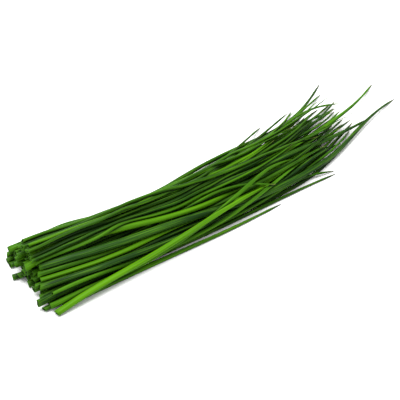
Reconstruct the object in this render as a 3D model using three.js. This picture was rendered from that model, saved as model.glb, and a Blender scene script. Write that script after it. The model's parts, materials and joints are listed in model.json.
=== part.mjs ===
// A bunch of cut chives lying on a table: sixty separate hollow leaves, cut square at one end and
// tapering to fine tips at the other. Units are millimetres, +Z is up, +X runs from the cut ends to
// the tips, and the leaves rest on the plane z = 0.
//
// Each leaf starts as a route in plan. The leaves are then let down onto the table in the order of
// their layers, kept apart in evenly spaced cross planes, so that they lie on each other as a heap.

import * as THREE from "three";
import { mergeVertices } from "three/addons/utils/BufferGeometryUtils.js";

// ---- Driving dimensions ----
const CUT_X = -104; // where the cut ends stand
const CUT_SCATTER = 3; // how unevenly they stand
const CUT_SLANT = 0.12; // how far a cut end stands back for each millimetre it lies to the left
const CONTACT_GAP = 0.38; // clear space between neighbouring leaves
const TIP_REACH = 0.9; // a tip keeps its neighbours away as if its radius were at least this
const WALL_SHARE = 0.62; // bore radius as a share of the leaf's radius
const BORE_DEPTH = 9; // how far the hollow is open from the cut end
const TIP_RADIUS = 0.32; // of the tip's last ring
const SLIMMING = 0.42; // share of a leaf's width that it loses on its way to the tip

// ---- Resolution ----
const SIDES = 8; // facets round a leaf
const RING_STEP = 16; // longest distance between rings along a leaf
const STATION = 5; // distance between the planes that keep leaves apart
const CONTROL_STEP = 22; // distance between a leaf's control points

// ---- Settling ----
const LAYER_HEIGHT = 20; // height of a layer before the leaves are let down
const PASSES = 900;
const LAST_PASSES = 150; // at the end, which only keep the leaves apart
const FAST_DROP = 1.0; // fall in each pass at first, and at the end
const SLOW_DROP = 0.02;
const STIFFNESS_ACROSS = 0.3; // share of an unwanted sideways bend that one pass takes out
const STIFFNESS_UP = 0.05; // the same for bends up and down
const HOLD = 0.03; // share of a sideways shift that one pass takes back

// The middle of the bunch in plan: straight from the cut ends, then bending to the left.
function middle(x) {
  const bend = Math.max(0, x - 10);
  return -1 + 0.0022 * bend * bend;
}

// ---- Leaves that show on top and at the sides ----
// [name, colour, girth, layer at the cut end, layer at the tip, then plan points (x, y)]
const SHOWN = [
  ["table_edge_leaf", "bright", 2.4, 0, 0, [-97, -23], [-45, -22], [8, -22], [40, -20]],
  ["stray_end_leaf", "deep", 2.8, 0.2, 0.2, [-110, 14], [-94, 9], [-60, 1], [20, 4], [92, 26]],
  ["low_tip_leaf", "mid", 2.7, 1.2, 2, [-107, -20], [-60, -18], [0, -17], [48, -16], [81, -16]],
  ["curved_tip_leaf", "mid", 2.7, 2.2, 2.5,
    [-106, -16], [-79, -16], [-50, -15], [0, -13], [47, -10], [69, -8], [82, -12]],
  ["front_dark_leaf", "blue", 3.4, 2.6, 3,
    [-109, -17], [-84, -18], [-55, -16], [-30, -15], [20, -13], [80, -2]],
  ["side_blue_leaf", "blue", 3.1, 4.2, 3,
    [-104, -11], [-78, -16], [-45, -16], [0, -15], [40, -12], [100, 4]],
  ["side_lime_leaf", "lime", 2.7, 4.6, 4,
    [-102, -8], [-81, -12], [-59, -15], [-10, -12], [40, -7], [92, 4]],
  ["side_bright_leaf", "bright", 2.5, 4.8, 4,
    [-102, -5], [-85, -8], [-72, -11], [-20, -11], [40, -3], [104, 11]],
  ["top_lime_leaf", "lime", 3.4, 5, 5, [-106, -4], [-64, -4], [-27, -8], [7, -7], [50, 0], [100, 13]],
  ["long_low_leaf", "blue", 3.6, 5.2, 5,
    [-100, 1], [-72, -7], [-40, -12], [-10, -14], [32, -15], [66, -9], [97, 0], [124, 12], [153, 20]],
  ["front_green_leaf", "bright", 2.4, 6.2, 6.6,
    [-104, -22.5], [-66, -20.5], [-30, -18.5], [5, -16], [27, -12], [46, -6], [68, -1]],
  ["front_lime_leaf", "lime", 3.1, 7.4, 6.8,
    [-103, -25.5], [-73, -23], [-32, -20], [-2, -17], [21, -14], [42, -11]],
  ["front_thin_leaf", "bright", 2.0, 5.8, 6.4,
    [-101, -18], [-66, -19], [-30, -19], [5, -18], [27, -15], [50, -8], [76, 1]],
  ["curling_leaf", "bright", 2.3, 1.5, 8.2,
    [-99, -2], [-40, -7], [4, -5], [23, -6], [33, -9], [39, -14]],
  ["long_bright_leaf", "bright", 3.0, 5.8, 5.8,
    [-101, 5], [-68, 0], [-37, -3], [-15, -5], [18, 1], [54, 7], [83, 11], [107, 18], [137, 29],
    [151, 38]],
  ["wide_grey_leaf", "blue", 3.7, 6.2, 6,
    [-98, 8], [-66, 4], [-35, 0], [-3, -1], [35, -4], [71, 2], [93, 4], [118, 10], [128, 13]],
  ["short_bright_leaf", "bright", 2.4, 6.4, 6.4, [-101, 12], [-52, 6], [-27, 3], [0, 2]],
  ["upper_back_leaf", "bright", 2.7, 5.9, 6,
    [-105, 21], [-61, 12], [-31, 8], [3, 9], [30, 14], [70, 25], [105, 35], [120, 33]],
  ["back_grey_leaf", "blue", 3.0, 5, 5, [-105, 22], [-60, 14], [-20, 15], [20, 21], [54, 28], [88, 39]],
  ["back_edge_leaf", "mid", 2.9, 4.6, 4.6,
    [-104, 23], [-60, 15], [-27, 17], [-5, 21], [19, 29], [50, 32], [79, 33], [101, 41], [124, 56]],
  ["back_low_leaf", "bright", 2.8, 2.5, 4,
    [-105, 23], [-60, 16], [-20, 19], [20, 27], [70, 31], [97, 37], [118, 47]],
  ["thin_stray_leaf", "mid", 1.9, 6.6, 6.6, [-100, 12], [-30, 10], [20, 17], [37, 23], [69, 41]],
  ["upturned_tip_leaf", "deep", 2.3, 4.4, 5, [-104, 15], [-20, 14], [50, 23], [82, 29], [93, 41]],
  ["hooked_tip_leaf", "mid", 2.2, 4, 4, [-103, 12], [0, 12], [59, 24], [75, 31], [83, 31]],
  ["far_tip_leaf", "mid", 2.5, 4.2, 4.2, [-105, 10], [-20, 8], [73, 21], [98, 27], [117, 36]],
  ["far_dark_leaf", "deep", 2.6, 3.8, 3.8, [-101, 8], [-10, 4], [78, 14], [98, 20], [115, 32]],
  ["middle_thin_leaf", "bright", 2.3, 5.7, 5.7, [-99, 1], [-20, 4], [50, 11], [90, 18], [113, 25]],
  ["dark_tip_leaf", "deep", 2.7, 5.4, 5.4,
    [-99, -3], [-30, -2], [40, -1], [71, 2], [95, 11], [106, 19]],
  ["upper_thin_leaf", "bright", 2.3, 6.3, 6.3, [-99, 6], [-20, 5], [30, 12], [74, 23], [108, 29]],
];

// ---- Leaves that fill the heap ----
// The bed's first row lies on the table and its next rows lie on it. The thin leaves start inside
// the heap and come out on top of it.
const ROWS = [
  { name: "bed_leaf", count: 11, near: -14, far: 20, cutLayer: 0.5, tipLayer: 0.5, girth: [2.5, 3.4] },
  { name: "bed_leaf", count: 9, near: -11, far: 20, cutLayer: 1.5, tipLayer: 1.5, girth: [2.5, 3.4] },
  { name: "bed_leaf", count: 5, near: -4, far: 18, cutLayer: 2.5, tipLayer: 2.5, girth: [2.4, 3.2] },
  { name: "thin_leaf", count: 6, near: -10, far: 14, cutLayer: 3.2, tipLayer: 6.6, girth: [2.0, 2.4] },
];
const ROW_COLOURS = ["mid", "deep", "bright", "mid", "blue"];

const random = (low, high) => low + (high - low) * THREE.MathUtils.seededRandom();

function rowLeaves() {
  THREE.MathUtils.seededRandom(41);
  const leaves = [];
  for (const row of ROWS) {
    for (let i = 0; i < row.count; i++) {
      const share = (i + 0.5) / row.count;
      const base = THREE.MathUtils.lerp(row.near, row.far, share) + random(-1, 1);
      const tip = THREE.MathUtils.lerp(-15, 15, share) + random(-6, 6);
      const end = random(84, 122);
      const curl = random(-5, 7);
      const across = (x, share) => [x, middle(x) + base + (tip - base) * share];
      const higher = random(0, 0.8);
      const number = leaves.filter(([name]) => name.startsWith(row.name)).length + 1;
      leaves.push([
        `${row.name}_${String(number).padStart(2, "0")}`,
        ROW_COLOURS[leaves.length % ROW_COLOURS.length],
        random(...row.girth),
        row.cutLayer + higher,
        row.tipLayer + higher,
        across(CUT_X - CUT_SLANT * base + random(-1, 1) * CUT_SCATTER, 0),
        across(-60, 0.05),
        across(-10, 0.3),
        across(50, 0.75),
        across(end - 18, 0.95),
        [end, middle(end) + tip + curl],
      ]);
    }
  }
  return leaves;
}

// ---- A leaf's own shape ----

// Radius at a share of the way from the cut end (0) to the tip (1).
function radiusAt(girth, share) {
  const body = (girth / 2) * (1 - SLIMMING * share) * Math.pow(1 - Math.pow(share, 8), 0.9);
  return Math.max(TIP_RADIUS, body);
}

// The four weights of a uniform cubic B-spline at a share t of one span.
function splineWeights(t) {
  const u = 1 - t;
  return [
    (u * u * u) / 6,
    (3 * t * t * t - 6 * t * t + 4) / 6,
    (3 * u * u * u - 6 * u * u + 4) / 6,
    (t * t * t) / 6,
  ];
}

// A leaf is a cubic B-spline over x, with movable control heights (z) and sideways places (y).
class Leaf {
  constructor([name, colour, girth, cutLayer, tipLayer, ...plan]) {
    Object.assign(this, { name, colour, girth });
    const route = new THREE.SplineCurve(plan.map(([x, y]) => new THREE.Vector2(x, y)));
    const samples = route.getPoints(120);
    this.start = samples[0].x;
    this.end = samples[samples.length - 1].x;
    this.spans = Math.max(3, Math.round((this.end - this.start) / CONTROL_STEP));
    this.step = (this.end - this.start) / this.spans;
    this.y = [];
    for (let i = -1; i <= this.spans + 1; i++) {
      this.y.push(this.routeAt(samples, this.start + i * this.step));
    }
    this.plannedY = [...this.y];
    this.z = this.y.map((_, i) => {
      return LAYER_HEIGHT * THREE.MathUtils.lerp(cutLayer, tipLayer, (i - 1) / this.spans) + 2;
    });
  }

  // The route's y at x, carried on in a straight line past both of its ends.
  routeAt(samples, x) {
    let i = samples.findIndex((p) => p.x >= x);
    i = THREE.MathUtils.clamp(i < 0 ? samples.length - 1 : i, 1, samples.length - 1);
    const [a, b] = [samples[i - 1], samples[i]];
    return a.y + ((b.y - a.y) * (x - a.x)) / (b.x - a.x);
  }

  // The span and weights that give the leaf's place at x.
  weightsAt(x) {
    const along = THREE.MathUtils.clamp((x - this.start) / this.step, 0, this.spans - 1e-6);
    const first = Math.floor(along);
    return { first, weights: splineWeights(along - first) };
  }

  valueAt(values, { first, weights }) {
    return weights.reduce((sum, w, i) => sum + w * values[first + i], 0);
  }

  pointAt(x) {
    const place = this.weightsAt(x);
    return new THREE.Vector3(x, this.valueAt(this.y, place), this.valueAt(this.z, place));
  }

  // Moves the control points so that the leaf moves by (dy, dz) at one place.
  move({ first, weights }, dy, dz) {
    const total = weights.reduce((sum, w) => sum + w * w, 0);
    weights.forEach((w, i) => {
      this.y[first + i] += (dy * w) / total;
      this.z[first + i] += (dz * w) / total;
    });
  }

  // Takes out part of every bend that the leaf doesn't have when it is free.
  straighten(values, planned, stiffness) {
    for (let i = 1; i < values.length - 1; i++) {
      const bend = (list) => (list[i - 1] + list[i + 1]) / 2 - list[i];
      const excess = stiffness * (bend(values) - (planned ? bend(planned) : 0));
      values[i] += (excess * 2) / 3;
      values[i - 1] -= excess / 3;
      values[i + 1] -= excess / 3;
    }
  }
}

// ---- Letting the leaves down ----

// The cross planes at every STATION, each with the leaves that pass through it.
function crossPlanes(leaves) {
  const planes = [];
  const first = Math.floor(Math.min(...leaves.map((leaf) => leaf.start)) / STATION) * STATION;
  const last = Math.max(...leaves.map((leaf) => leaf.end));
  for (let x = first; x <= last + STATION; x += STATION) {
    const cuts = [];
    for (const leaf of leaves) {
      if (x < leaf.start - STATION || x > leaf.end + STATION) continue;
      const at = THREE.MathUtils.clamp(x, leaf.start, leaf.end);
      const share = (at - leaf.start) / (leaf.end - leaf.start);
      const slope = (leaf.pointAt(Math.min(at + 1, leaf.end)).y - leaf.pointAt(at - 1).y) / 2;
      const radius = radiusAt(leaf.girth, share);
      const reach = Math.max(radius, TIP_REACH) * Math.hypot(1, slope);
      cuts.push({ leaf, place: leaf.weightsAt(at), radius, reach, y: 0, z: 0 });
    }
    planes.push(cuts);
  }
  return planes;
}

// Pushes overlapping leaves apart in one plane, and lifts those below the table.
function separate(cuts) {
  const shift = (cut, dy, dz) => {
    cut.leaf.move(cut.place, dy, dz);
    cut.y += dy;
    cut.z += dz;
  };
  for (const cut of cuts) {
    cut.y = cut.leaf.valueAt(cut.leaf.y, cut.place);
    cut.z = cut.leaf.valueAt(cut.leaf.z, cut.place);
  }
  for (let i = 0; i < cuts.length; i++) {
    for (let j = i + 1; j < cuts.length; j++) {
      const [a, b] = [cuts[i], cuts[j]];
      const apart = a.reach + b.reach + CONTACT_GAP;
      const dy = b.y - a.y;
      const dz = b.z - a.z;
      if (Math.abs(dy) >= apart || Math.abs(dz) >= apart) continue;
      const distance = Math.hypot(dy, dz) || 1e-6;
      if (distance >= apart) continue;
      const push = (0.5 * (apart - distance)) / distance;
      shift(a, -push * dy, -push * dz);
      shift(b, push * dy, push * dz);
    }
  }
  for (const cut of cuts) {
    const floor = cut.radius * Math.cos(Math.PI / SIDES);
    if (cut.z < floor) shift(cut, 0, floor - cut.z);
  }
}

function settle(leaves) {
  const planes = crossPlanes(leaves);
  for (let pass = 0; pass < PASSES; pass++) {
    const slowing = Math.pow(1 - pass / PASSES, 3);
    const drop = SLOW_DROP + (FAST_DROP - SLOW_DROP) * slowing;
    for (const leaf of leaves) {
      leaf.straighten(leaf.y, leaf.plannedY, STIFFNESS_ACROSS);
      leaf.straighten(leaf.z, null, STIFFNESS_UP);
      for (let i = 0; i < leaf.y.length; i++) {
        leaf.y[i] += HOLD * (leaf.plannedY[i] - leaf.y[i]);
        leaf.z[i] -= drop;
      }
    }
    planes.forEach(separate);
    planes.reverse().forEach(separate);
  }
  for (let pass = 0; pass < LAST_PASSES; pass++) planes.forEach(separate);
}

// ---- Solids ----

// A straight leaf standing on its cut end along Y, with the hollow open at the cut end.
function straightLeaf(leaf, length) {
  const wallRadius = leaf.girth / 2;
  const profile = [
    new THREE.Vector2(0, BORE_DEPTH),
    new THREE.Vector2(wallRadius * WALL_SHARE * 0.5, BORE_DEPTH - 1.5),
    new THREE.Vector2(wallRadius * WALL_SHARE, 0),
  ];
  const rings = Math.ceil(length / RING_STEP);
  for (let i = 0; i <= rings; i++) {
    profile.push(new THREE.Vector2(radiusAt(leaf.girth, i / rings), (length * i) / rings));
  }
  profile.push(new THREE.Vector2(0, length + TIP_RADIUS * 2));
  return new THREE.LatheGeometry(profile, SIDES, Math.PI / SIDES);
}

// Bends the straight leaf along its settled route, and flattens it where it lies on the table.
function leafGeometry(leaf) {
  const points = [];
  const count = Math.ceil((leaf.end - leaf.start) / 2);
  for (let i = 0; i <= count; i++) {
    points.push(leaf.pointAt(leaf.start + ((leaf.end - leaf.start) * i) / count));
  }
  const route = new THREE.CatmullRomCurve3(points);
  const length = route.getLength();
  const straight = straightLeaf(leaf, length);
  straight.deleteAttribute("normal");
  straight.deleteAttribute("uv");
  const geometry = mergeVertices(straight, 1e-4);
  const place = geometry.getAttribute("position");
  const up = new THREE.Vector3(0, 0, 1);
  for (let i = 0; i < place.count; i++) {
    const along = THREE.MathUtils.clamp(place.getY(i) / length, 0, 1);
    const past = place.getY(i) - along * length;
    const forward = route.getTangentAt(along);
    const side = new THREE.Vector3().crossVectors(forward, up).normalize();
    const over = new THREE.Vector3().crossVectors(side, forward);
    const p = route.getPointAt(along);
    p.addScaledVector(forward, past);
    p.addScaledVector(side, place.getX(i));
    p.addScaledVector(over, place.getZ(i));
    place.setXYZ(i, p.x, p.y, Math.max(0, p.z));
  }
  return geometry;
}

const COLOURS = {
  lime: 0x74a81a,
  bright: 0x4f8f1c,
  mid: 0x3c7a22,
  deep: 0x245a1e,
  blue: 0x3a6b3a,
};
const materials = Object.fromEntries(
  Object.entries(COLOURS).map(([name, color]) => [
    name,
    new THREE.MeshStandardMaterial({ color, roughness: 0.45, metalness: 0 }),
  ]),
);

const leaves = [...SHOWN, ...rowLeaves()].map((row) => new Leaf(row));
settle(leaves);

const bunch = new THREE.Group();
for (const leaf of leaves) {
  const mesh = new THREE.Mesh(leafGeometry(leaf), materials[leaf.colour]);
  mesh.name = leaf.name;
  bunch.add(mesh);
}

// The origin is under the middle of the bunch, on the table.
const box = new THREE.Box3().setFromObject(bunch);
bunch.position.set(-(box.min.x + box.max.x) / 2, -(box.min.y + box.max.y) / 2, -box.min.z);

export default bunch;
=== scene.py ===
"""A loose bunch of cut chives lying on a table.

Each CAD leaf is replaced by a detailed one that follows it: a ribbed, slightly oval hollow tube with
a cut rim at one end and a drawn-out tip at the other. A few more thin leaves are laid on the heap.
Leaves are worked out in millimetres, as are lengths named _MM, and everything else is in metres.
"""

import json
import math
import random
import zlib

import bpy
import numpy as np
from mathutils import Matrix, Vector


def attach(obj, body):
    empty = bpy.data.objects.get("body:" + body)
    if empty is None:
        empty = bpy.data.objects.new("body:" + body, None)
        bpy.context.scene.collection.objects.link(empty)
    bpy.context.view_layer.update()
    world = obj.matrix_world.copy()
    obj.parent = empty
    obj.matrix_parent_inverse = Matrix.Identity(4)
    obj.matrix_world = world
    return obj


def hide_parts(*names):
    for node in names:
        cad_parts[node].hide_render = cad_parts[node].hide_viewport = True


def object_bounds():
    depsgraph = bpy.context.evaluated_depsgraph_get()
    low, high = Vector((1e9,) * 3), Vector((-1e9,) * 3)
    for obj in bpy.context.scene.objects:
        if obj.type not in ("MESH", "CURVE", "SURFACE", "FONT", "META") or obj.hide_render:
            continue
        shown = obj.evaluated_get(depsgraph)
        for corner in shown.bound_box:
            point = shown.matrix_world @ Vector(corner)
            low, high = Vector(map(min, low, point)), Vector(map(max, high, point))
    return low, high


MM = 0.001

# ---- Leaf shape ----
SIDES = 40  # points round a leaf
RIBS = 8  # low ribs that run along it
RIB_DEPTH = 0.022  # of a rib, as a share of the radius
RING_STEP_MM = 2.2
SNUG_MM = 0.17  # what a leaf gains on its CAD solid, which keeps clear of its neighbours
WALL_MM = 0.32  # thickness of the tube at the cut
HOLLOW_MM = 26.0  # how far the modelled hollow runs in
POINT_MM = 9.0  # length over which the tip is drawn to a point
POINT_RADIUS_MM = 0.13  # of the tip's end
RING_GAP_MM = 3.0  # gaps along X that are longer than this part the CAD leaf's rings
PINCH_MM = 7.0  # how far a cut end's pinch runs in
TILT_MM = 2.0  # how far a cut end's slant runs in
RIM_ROUND_MM = 0.10  # how far the rim's edges stand back

# ---- Leaves laid on the heap ----
LAID_COUNT = 14
LAID_GIRTHS_MM = (1.5, 2.2)
LAID_SHARES = (-0.3, 0.85)  # where they lie across the bunch, from -1 at its right to 1 at its left
CURLS_MM = (-8, 16)  # how far a tip turns to the left
STATION_MM = 2.0  # the leaves' places are compared at stations along X
END_MM = 5.0  # from the bunch's ends to the first and last station
LAID_GAP_MM = 0.05  # between a laid leaf and those below it
LAID_ENDS_MM = (30, 96)  # where their tips are along X
SLIDE_PASSES = 40  # passes in which a laid leaf slides into the grooves below it
SLIDE_PROBE_MM = 0.3  # how far to each side it feels for lower ground
SLIDE_SHARE = 0.25  # how much of the rise it slides back in a pass
HOLD_SHARE = 0.04  # how much of its shift from the planned route a pass takes back
DRAPE_PASSES = 160  # passes that smooth its heights over the leaves below
SLIMMING = 0.42  # share of its width that a leaf loses on its way to the tip

# ---- Tints and painted shade ----
TINTS = (0.35, 1.0)  # how fresh a leaf looks
SHADE_AND_DARK_TINT = 0.15  # painted shade for the leaves inside the heap, and the own darker colour of the darkest ones on top
SHADED_AND_DARK_LEAVES = ("bed_leaf", "front_dark_leaf", "side_blue_leaf", "dark_tip_leaf")
GAP_SHADE_MM = 1.2  # how far from a neighbour or the table a leaf still gets painted shade from it

# ---- Camera: looks down on the bunch, with the cut ends at the lower left ----
TARGET = Vector((-0.0217, -0.0145, 0.008))
DISTANCE = 0.7
AZIMUTH = math.radians(33)  # turn of the view to the right of +Y
ELEVATION = math.radians(42)
LENS_MM = 115.7

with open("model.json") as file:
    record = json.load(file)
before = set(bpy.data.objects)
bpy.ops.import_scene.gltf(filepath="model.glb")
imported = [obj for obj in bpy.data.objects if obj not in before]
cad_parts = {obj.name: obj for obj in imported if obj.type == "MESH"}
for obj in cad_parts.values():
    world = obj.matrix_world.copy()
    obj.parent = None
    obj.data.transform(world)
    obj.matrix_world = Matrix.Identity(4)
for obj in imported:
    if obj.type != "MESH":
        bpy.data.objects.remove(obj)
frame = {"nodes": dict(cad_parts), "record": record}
cad_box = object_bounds()


# ---- Curves ----


def leaf_rings(node):
    """The centres and radii of a CAD leaf's rings, from its cut end to its tip."""
    points = np.array([v.co[:] for v in node.data.vertices]) / MM
    points = np.unique(np.round(points, 3), axis=0)
    points = points[np.argsort(points[:, 0], kind="stable")]
    breaks = np.flatnonzero(np.diff(points[:, 0]) > RING_GAP_MM) + 1
    groups = np.split(points, breaks)
    del groups[1]  # the inner end of the CAD leaf's short hollow
    centres = np.array([group.mean(axis=0) for group in groups])
    radii = [np.linalg.norm(g - c, axis=1).max() for g, c in zip(groups, centres)]
    return centres, np.array(radii) + SNUG_MM


def smooth_rows(rows, knots, places):
    """Rows of numbers known at knots, read at other places along a smooth curve."""
    slopes = np.gradient(rows, knots, axis=0)
    i = np.clip(np.searchsorted(knots, places, side="right") - 1, 0, len(knots) - 2)
    width = (knots[i + 1] - knots[i])[:, None]
    t = ((places - knots[i])[:, None]) / width
    return (
        (2 * t**3 - 3 * t**2 + 1) * rows[i]
        + (t**3 - 2 * t**2 + t) * width * slopes[i]
        + (3 * t**2 - 2 * t**3) * rows[i + 1]
        + (t**3 - t**2) * width * slopes[i + 1]
    )


def follow(centres, radii, step):
    """Evenly spaced places along a leaf, with the centre, radius and directions at each."""
    chords = np.linalg.norm(np.diff(centres, axis=0), axis=1)
    knots = np.concatenate([[0], np.cumsum(chords)])
    length = knots[-1]
    places = np.linspace(0, length, max(8, round(length / step)) + 1)
    route = smooth_rows(centres, knots, places)
    radius = np.interp(places, knots, radii)
    forward = np.gradient(route, places, axis=0)
    forward /= np.linalg.norm(forward, axis=1)[:, None]
    side = np.cross(forward, [0, 0, 1])
    side /= np.linalg.norm(side, axis=1)[:, None]
    over = np.cross(side, forward)
    return places, route, radius, forward, side, over


# ---- Leaves ----


def painted_gap_shade(points, own):
    """How closely the table and the other leaves press on points, for the painted shade between them: 1
    where they touch, 0 in the open.
    """
    nearest = np.maximum(points[:, 2], 0)
    for i, places in enumerate(lying):
        if i == own:
            continue
        y, z, radius = [np.interp(points[:, 0], STATIONS, np.nan_to_num(row, nan=-99)) for row in places]
        gap = np.hypot(points[:, 1] - y, points[:, 2] - z) - radius
        nearest = np.minimum(nearest, np.maximum(gap, 0))
    return np.exp(-nearest / GAP_SHADE_MM)


def leaf_mesh(name, centres, radii, own):
    """A detailed leaf along a row of centres, with the attributes that its material reads."""
    rng = random.Random(zlib.crc32(name.encode()))
    places, route, radius, forward, side, over = follow(centres, radii, RING_STEP_MM)
    length = places[-1]

    # How far the leaf is from round, how it twists, and how its cut end is slanted and pinched.
    oval = rng.uniform(0.03, 0.12)
    corner = rng.uniform(0.0, 0.03)
    turn = rng.uniform(0, math.tau)
    twist = rng.uniform(-1.2, 1.2) / 100
    cut_tilt = rng.uniform(0.1, 0.6)
    cut_turn = rng.uniform(0, math.tau)
    pinch = rng.choice([0.0, 0.05, 0.12, 0.2])
    pinch_turn = rng.uniform(0, math.pi)
    # Leaves inside the heap get painted shade; the darkest ones on top get their own dark tone.
    tone_and_shade = SHADE_AND_DARK_TINT if name.startswith(SHADED_AND_DARK_LEAVES) else rng.uniform(*TINTS)

    to_tip = length - places
    pointed = np.clip(to_tip / POINT_MM, 0, 1) ** 0.75
    grown = radius * pointed + POINT_RADIUS_MM * (1 - pointed)
    angles = np.arange(SIDES) * math.tau / SIDES

    def ring(i, depth, inwards):
        """One ring's points, at a depth under the skin, and their places on the unbent leaf."""
        near_cut = math.exp(-places[i] / PINCH_MM)
        across = 1 + oval * np.cos(2 * (angles - turn - twist * places[i]))
        across += corner * np.cos(3 * (angles + turn))
        across += RIB_DEPTH * np.cos(RIBS * angles)
        across -= pinch * near_cut * (0.35 + np.cos(2 * (angles - pinch_turn)))
        r = np.maximum(POINT_RADIUS_MM, grown[i] * across - depth)
        shift = cut_tilt * np.cos(angles - cut_turn) * math.exp(-places[i] / TILT_MM) + inwards
        points = (
            route[i]
            + np.outer(r * np.cos(angles), side[i])
            + np.outer(r * np.sin(angles), over[i])
            + np.outer(shift, forward[i])
        )
        points[:, 2] = np.maximum(points[:, 2], 0.0)
        skin = np.column_stack([r * np.cos(angles), r * np.sin(angles), np.full(SIDES, places[i])])
        return points, skin

    # Each row is a ring of points with its place on the skin, and how much rim and painted hollow shade
    # it shows.
    rows = []
    inner_end = round(HOLLOW_MM / places[1])
    for i in range(inner_end, 0, -1):
        rows.append((*ring(i, WALL_MM, 0.0), 0.0, 1.0))
    rows.append((*ring(0, WALL_MM, RIM_ROUND_MM), 0.6, 0.6))
    rows.append((*ring(0, 0.7 * WALL_MM, 0.0), 1.0, 0.0))
    rows.append((*ring(0, 0.3 * WALL_MM, 0.0), 1.0, 0.0))
    rows.append((*ring(0, 0.0, RIM_ROUND_MM), 0.6, 0.0))
    for i in range(1, len(places)):
        rows.append((*ring(i, 0.0, 0.0), 0.0, 0.0))

    hollow_middle = route[inner_end]
    tip_middle = route[-1] + forward[-1] * 2 * POINT_RADIUS_MM
    tip_middle[2] = max(tip_middle[2], 0.05)
    vertices = np.vstack([row[0] for row in rows] + [hollow_middle, tip_middle])
    skins = np.vstack([row[1] for row in rows] + [[0, 0, places[inner_end]], [0, 0, length]])
    rims = np.concatenate([np.full(SIDES, row[2]) for row in rows] + [[0.0, 0.0]])
    hollow_shades = np.concatenate([np.full(SIDES, row[3]) for row in rows] + [[1.0, 0.0]])

    # Every face is wound to face outwards. The map runs along the leaf in U and round it in V.
    faces, corners = [], []
    last = len(rows) - 1
    for row in range(last):
        a = row * SIDES
        for j in range(SIDES):
            k = (j + 1) % SIDES
            faces.append((a + j, a + SIDES + j, a + SIDES + k, a + k))
            corners += [(row, j), (row + 1, j), (row + 1, j + 1), (row, j + 1)]
    for j in range(SIDES):
        k = (j + 1) % SIDES
        faces.append((j, k, len(rows) * SIDES))
        corners += [(0, j), (0, j + 1), (-1, j + 0.5)]
        faces.append((last * SIDES + k, last * SIDES + j, len(rows) * SIDES + 1))
        corners += [(last, j + 1), (last, j), (last + 1, j + 0.5)]

    mesh = bpy.data.meshes.new(name)
    mesh.from_pydata((vertices * MM).tolist(), [], faces)
    layer = mesh.uv_layers.new(name="OFBake")
    spots = (np.array(corners) + [1.5, 0.5]) / [last + 3, SIDES + 1]
    layer.uv.foreach_set("vector", spots.astype(np.float32).ravel())
    for key, values in (
        ("leaf_along", skins[:, 2] / length),
        ("leaf_rim", rims),
        ("leaf_hollow", hollow_shades),
        ("leaf_crowding", painted_gap_shade(vertices, own)),
        ("leaf_tint", np.full(len(vertices), tone_and_shade)),
    ):
        layer = mesh.attributes.new(key, "FLOAT", "POINT")
        layer.data.foreach_set("value", values.astype(np.float32))
    layer = mesh.attributes.new("leaf_skin", "FLOAT_VECTOR", "POINT")
    offset = np.array([rng.uniform(0, 50), rng.uniform(0, 50), rng.uniform(0, 900)])
    layer.data.foreach_set("vector", (skins + offset).astype(np.float32).ravel())
    mesh.shade_smooth()
    return mesh


# ---- Materials ----


class Nodes:
    """Short names for the nodes of one material."""

    def __init__(self, name):
        self.material = bpy.data.materials.new(name)
        self.material.use_nodes = True
        self.tree = self.material.node_tree
        self.shader = self.tree.nodes["Principled BSDF"]

    def put(self, socket, value):
        if isinstance(value, bpy.types.NodeSocket):
            self.tree.links.new(value, socket)
        else:
            socket.default_value = value

    def attribute(self, name, output="Fac"):
        node = self.tree.nodes.new("ShaderNodeAttribute")
        node.attribute_name = name
        return node.outputs[output]

    def scaled(self, vector, scale):
        node = self.tree.nodes.new("ShaderNodeVectorMath")
        node.operation = "MULTIPLY"
        self.put(node.inputs[0], vector)
        node.inputs[1].default_value = scale
        return node.outputs[0]

    def noise(self, vector, scale=1.0, detail=2.0, roughness=0.5):
        node = self.tree.nodes.new("ShaderNodeTexNoise")
        self.put(node.inputs["Vector"], vector)
        node.inputs["Scale"].default_value = scale
        node.inputs["Detail"].default_value = detail
        node.inputs["Roughness"].default_value = roughness
        return node.outputs["Fac"]

    def ramp(self, value, low, high, to_low=0.0, to_high=1.0):
        node = self.tree.nodes.new("ShaderNodeMapRange")
        node.interpolation_type = "SMOOTHSTEP"
        self.put(node.inputs["Value"], value)
        node.inputs["From Min"].default_value = low
        node.inputs["From Max"].default_value = high
        node.inputs["To Min"].default_value = to_low
        node.inputs["To Max"].default_value = to_high
        return node.outputs["Result"]

    def math(self, operation, a, b):
        node = self.tree.nodes.new("ShaderNodeMath")
        node.operation = operation
        self.put(node.inputs[0], a)
        self.put(node.inputs[1], b)
        return node.outputs[0]

    def mix(self, share, a, b):
        node = self.tree.nodes.new("ShaderNodeMix")
        node.data_type = "RGBA"
        self.put(node.inputs["Factor"], share)
        for socket, value in zip([s for s in node.inputs if s.type == "RGBA"], (a, b)):
            self.put(socket, value if isinstance(value, bpy.types.NodeSocket) else (*value, 1))
        return [s for s in node.outputs if s.type == "RGBA"][0]

    def bump(self, height, strength, distance):
        node = self.tree.nodes.new("ShaderNodeBump")
        self.put(node.inputs["Height"], height)
        node.inputs["Strength"].default_value = strength
        node.inputs["Distance"].default_value = distance
        return node.outputs["Normal"]


RIM_COLOUR = (0.045, 0.150, 0.003)
VEIN_COLOUR = (0.105, 0.290, 0.006)
# painted shade in the gaps between leaves and against the table
GAP_SHADE_COLOUR = (0.003, 0.012, 0.001)
# painted shade inside the hollow of the cut end
HOLLOW_SHADE_COLOUR = (0.006, 0.020, 0.002)
DRY_COLOUR = (0.150, 0.160, 0.040)
BLOOM_COLOUR = (0.036, 0.110, 0.016)


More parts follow.
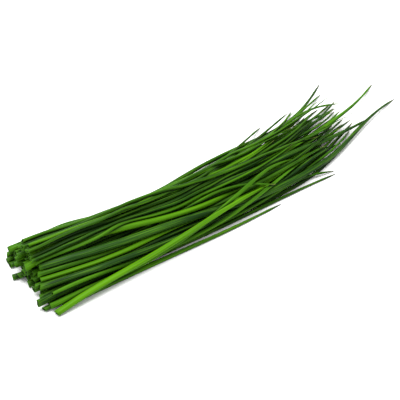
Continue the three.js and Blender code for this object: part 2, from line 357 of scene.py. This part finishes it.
def leaf_material(name, fresh, dark_tone_and_shade, bloom):
    """Leaf skin: streaks along the leaf, patches, bloom, a pale cut and a dry tip, with painted shade
    inside the hollow, in the gaps between leaves and on the leaves deep in the heap.
    """
    n = Nodes(name)
    skin = n.attribute("leaf_skin", "Vector")
    along = n.attribute("leaf_along")
    tone_and_shade = n.attribute("leaf_tint")

    streaks = n.noise(n.scaled(skin, (1.3, 1.3, 0.02)), detail=3)
    fine = n.noise(n.scaled(skin, (2.4, 2.4, 0.04)), detail=2)
    patches = n.noise(n.scaled(skin, (0.22, 0.22, 0.03)), detail=3)

    # Each leaf lies between its fresh colour and a darker one, which is painted shade on the leaves
    # inside the heap.
    colour = n.mix(n.math("MULTIPLY", tone_and_shade, n.ramp(patches, 0.35, 0.65, 0.6, 1.6)), dark_tone_and_shade, fresh)
    colour = n.mix(n.ramp(streaks, 0.44, 0.58, 0, 0.9), colour, dark_tone_and_shade)
    bloomed = n.ramp(along, 0.35, 0.75, bloom, 0.1 * bloom)
    bloomed = n.math("MULTIPLY", n.math("MULTIPLY", n.ramp(patches, 0.30, 0.62), tone_and_shade), bloomed)
    colour = n.mix(bloomed, colour, BLOOM_COLOUR)
    colour = n.mix(n.ramp(fine, 0.50, 0.62, 0, 0.4), colour, VEIN_COLOUR)
    colour = n.mix(n.ramp(along, 0.0, 0.05, 0.06, 0), colour, RIM_COLOUR)
    colour = n.mix(n.ramp(along, 0.97, 1.0, 0, 0.8), colour, DRY_COLOUR)
    # painted shade where a leaf lies close to the table or to other leaves
    colour = n.mix(n.ramp(n.attribute("leaf_crowding"), 0.20, 0.85, 0, 0.95), colour, GAP_SHADE_COLOUR)
    colour = n.mix(n.attribute("leaf_rim"), colour, RIM_COLOUR)
    # painted shade inside the hollow, where the tube's inner wall lies out of the light
    colour = n.mix(n.attribute("leaf_hollow"), colour, HOLLOW_SHADE_COLOUR)

    n.put(n.shader.inputs["Base Color"], colour)
    n.put(n.shader.inputs["Roughness"], n.ramp(streaks, 0.3, 0.7, 0.34, 0.52))
    n.put(n.shader.inputs["Normal"], n.bump(n.math("ADD", streaks, fine), 0.5, 0.08 * MM))
    n.shader.inputs["Specular IOR Level"].default_value = 0.07
    return n.material


LEAF_MATERIALS = {
    "lime_leaf": leaf_material("lime_leaf", (0.082, 0.240, 0.002), (0.044, 0.148, 0.001), 0.0),
    "bright_leaf": leaf_material("bright_leaf", (0.058, 0.190, 0.003), (0.024, 0.092, 0.002), 0.05),
    "green_leaf": leaf_material("green_leaf", (0.036, 0.125, 0.003), (0.013, 0.052, 0.002), 0.1),
    "dark_leaf": leaf_material("dark_leaf", (0.014, 0.060, 0.002), (0.004, 0.020, 0.001), 0.1),
    "bloomy_leaf": leaf_material("bloomy_leaf", (0.019, 0.070, 0.007), (0.007, 0.030, 0.004), 0.5),
}

# ---- The bunch ----


def add_leaf(name, centres, radii, slot, own):
    """Makes one leaf, which is number own among those that lie in the heap."""
    leaf = bpy.data.objects.new(name, leaf_mesh(name, centres, radii, own))
    bpy.context.scene.collection.objects.link(leaf)
    leaf.data.materials.append(LEAF_MATERIALS[slot])
    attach(leaf, "root")
    return leaf


def at_stations(centres, radii):
    """A leaf's y, z and radius at every station, which are NaN past its ends."""
    rows = np.column_stack([centres[:, 1:], radii])
    return [np.interp(STATIONS, centres[:, 0], row, left=np.nan, right=np.nan) for row in rows.T]


def eased(values, passes):
    """Values smoothed along the stations."""
    for _ in range(passes):
        ends = np.pad(values, 1, mode="edge")
        values = (ends[:-2] + 2 * values + ends[2:]) / 4
    return values


def resting_height(inside, y, radius):
    """How high a leaf's middle has to be, to lie on the table or on the leaves below it."""
    height = radius.copy()
    for other_y, other_z, other_radius in lying:
        apart = radius + other_radius[inside] + LAID_GAP_MM
        across = y - other_y[inside]
        rise = other_z[inside] + np.sqrt(np.maximum(0, apart**2 - across**2))
        height = np.where((np.abs(across) < apart) & (rise > height), rise, height)
    return height


def lay_leaf(inside, planned_y, girth, curl):
    """Lets a leaf down on the heap, where it slides into the grooves and its tip curls aside."""
    share = np.linspace(0, 1, inside.sum())
    radius = girth / 2 * (1 - SLIMMING * share) * (1 - share**8) ** 0.9 + POINT_RADIUS_MM
    y = planned_y
    for _ in range(SLIDE_PASSES):
        left = resting_height(inside, y + SLIDE_PROBE_MM, radius)
        right = resting_height(inside, y - SLIDE_PROBE_MM, radius)
        slide = SLIDE_SHARE * np.clip(left - right, -1, 1)
        y = eased(y - slide + HOLD_SHARE * (planned_y - y), 6)
    y = y + curl * share**6
    support = resting_height(inside, y, radius)
    z = support
    for _ in range(DRAPE_PASSES):
        z = np.maximum(support, eased(z, 2))
    z = eased(z, 4)
    return np.column_stack([STATIONS[inside], y, z]), radius


slots = {part["node"]: part["material_slot"] for part in frame["record"]["subparts"]}
STATIONS = np.arange(cad_box[0][0] / MM + END_MM, cad_box[1][0] / MM - END_MM, STATION_MM)
names = sorted(frame["nodes"])
planned_leaves = []
lying = []
for name in names:
    centres, radii = leaf_rings(frame["nodes"][name])
    lying.append(at_stations(centres, radii))
    planned_leaves.append((name + "_skin", centres, radii, slots[name]))

# The bunch's middle and half its width at each station, which the laid leaves follow.
across = np.array([y for y, _, _ in lying])
middle = eased(np.nanmean(across, axis=0), 20)
half_width = eased(np.nanmax(across, axis=0) - np.nanmin(across, axis=0), 20) / 2

rng = random.Random(7)
for i in range(LAID_COUNT):
    start = STATIONS[0] + rng.uniform(0, 4)
    end = rng.uniform(*LAID_ENDS_MM)
    inside = (STATIONS >= start) & (STATIONS <= end)
    t = np.linspace(0, 1, inside.sum())
    first = rng.uniform(*LAID_SHARES)
    last = np.clip(first + rng.uniform(-0.9, 0.9), *LAID_SHARES)
    planned = middle[inside] + half_width[inside] * (first + (last - first) * t**1.5)
    centres, radii = lay_leaf(inside, planned, rng.uniform(*LAID_GIRTHS_MM), rng.uniform(*CURLS_MM))
    lying.append(at_stations(centres, radii))
    slot = rng.choice(["bright_leaf", "green_leaf", "green_leaf", "lime_leaf", "dark_leaf"])
    planned_leaves.append((f"laid_leaf_{i + 1:02d}", centres, radii, slot))

leaves = [add_leaf(*planned_leaf, own) for own, planned_leaf in enumerate(planned_leaves)]
for leaf, name in zip(leaves, names):
    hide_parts(name)


# ---- Floor, light and camera ----


def floor_material():
    n = Nodes("floor")
    place = n.tree.nodes.new("ShaderNodeTexCoord").outputs["Object"]
    n.put(n.shader.inputs["Base Color"], n.mix(n.noise(place, 6), (0.90, 0.90, 0.90), (0.93, 0.93, 0.93)))
    n.shader.inputs["Roughness"].default_value = 0.9
    n.shader.inputs["Specular IOR Level"].default_value = 0.1
    return n.material


def add_area_light(name, place, size, power):
    data = bpy.data.lights.new(name, "AREA")
    data.shape = "DISK"
    data.size = size
    data.energy = power
    light = bpy.data.objects.new(name, data)
    light.location = place
    light.rotation_euler = (TARGET - Vector(place)).to_track_quat("-Z", "Y").to_euler()
    bpy.context.scene.collection.objects.link(light)


floor_mesh = bpy.data.meshes.new("floor")
REACH = 3.0
floor_mesh.from_pydata(
    [(-REACH, -REACH, 0), (REACH, -REACH, 0), (REACH, REACH, 0), (-REACH, REACH, 0)],
    [],
    [(0, 1, 2, 3)],
)
floor = bpy.data.objects.new("floor", floor_mesh)
floor.data.materials.append(floor_material())
bpy.context.scene.collection.objects.link(floor)

world = bpy.data.worlds.new("studio")
world.use_nodes = True
world.node_tree.nodes["Background"].inputs["Color"].default_value = (1, 1, 1, 1)
world.node_tree.nodes["Background"].inputs["Strength"].default_value = 0.90
bpy.context.scene.world = world
add_area_light("key", (-0.25, 0.35, 1.7), 1.6, 42)

view_forward = Vector(
    (
        math.sin(AZIMUTH) * math.cos(ELEVATION),
        math.cos(AZIMUTH) * math.cos(ELEVATION),
        -math.sin(ELEVATION),
    )
)
camera_data = bpy.data.cameras.new("camera")
camera_data.lens = LENS_MM
camera_data.sensor_width = 36
camera_data.clip_start = 0.01
camera = bpy.data.objects.new("camera", camera_data)
camera.location = TARGET - view_forward * DISTANCE
camera.rotation_euler = view_forward.to_track_quat("-Z", "Y").to_euler()
bpy.context.scene.collection.objects.link(camera)
bpy.context.scene.camera = camera
bpy.context.scene.view_settings.view_transform = "Standard"
